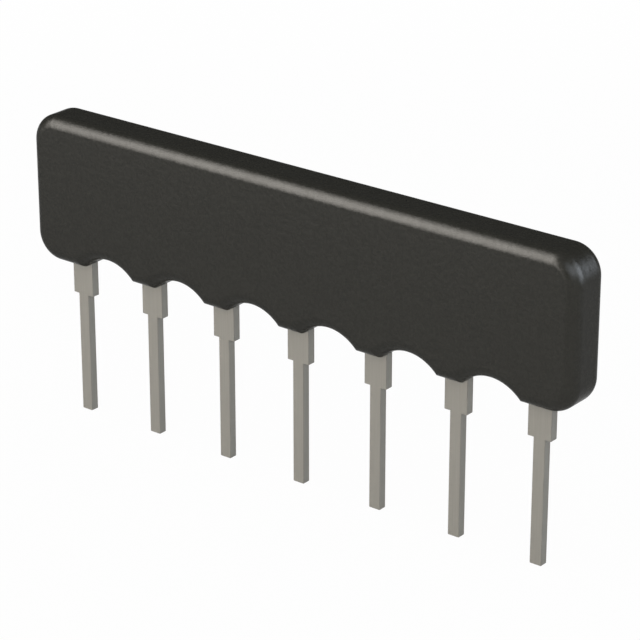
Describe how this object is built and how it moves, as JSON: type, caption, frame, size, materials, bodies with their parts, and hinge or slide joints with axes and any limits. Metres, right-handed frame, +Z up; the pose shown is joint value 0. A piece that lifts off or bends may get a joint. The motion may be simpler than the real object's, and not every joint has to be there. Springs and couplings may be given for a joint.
{
  "type": "resistor network",
  "caption": "Flat rounded epoxy-coated resistor network with a row of stamped strip leads, each with a wider shoulder, and arches in its underside between the leads.",
  "frame": {"origin": "middle of the lead row on the seating plane, which is the underside of the lead shoulders", "axes": "+X along the row from pin 1 to pin 7, +Y from the front to the back of the case, +Z up, away from the board"},
  "size_m": [0.0178, 0.0014, 0.0087],
  "materials": {
    "coating": "dark warm grey epoxy, satin, with a very fine grain",
    "lead_metal": "satin tin plating on stamped strip",
    "ceramic": "matte sintered alumina",
    "conductor": "fired silver-palladium print",
    "resistor": "fired resistor print",
    "overglaze": "thin green glass print",
    "solder": "bright solder"
  },
  "bodies": {
    "root": {"epoxy_coating": "coating", "ceramic_substrate": "ceramic", "lead_1": "lead_metal", "lead_2": "lead_metal", "lead_3": "lead_metal", "lead_4": "lead_metal", "lead_5": "lead_metal", "lead_6": "lead_metal", "lead_7": "lead_metal", "solder_joint_1": "solder", "solder_joint_2": "solder", "solder_joint_3": "solder", "solder_joint_4": "solder", "solder_joint_5": "solder", "solder_joint_6": "solder", "solder_joint_7": "solder", "common_conductor": "conductor", "terminal_pad_2": "conductor", "terminal_pad_3": "conductor", "terminal_pad_4": "conductor", "terminal_pad_5": "conductor", "terminal_pad_6": "conductor", "terminal_pad_7": "conductor", "resistor_film_2": "resistor", "resistor_film_3": "resistor", "resistor_film_4": "resistor", "resistor_film_5": "resistor", "resistor_film_6": "resistor", "resistor_film_7": "resistor", "glass_overglaze": "overglaze"}
  },
  "joints": []
}
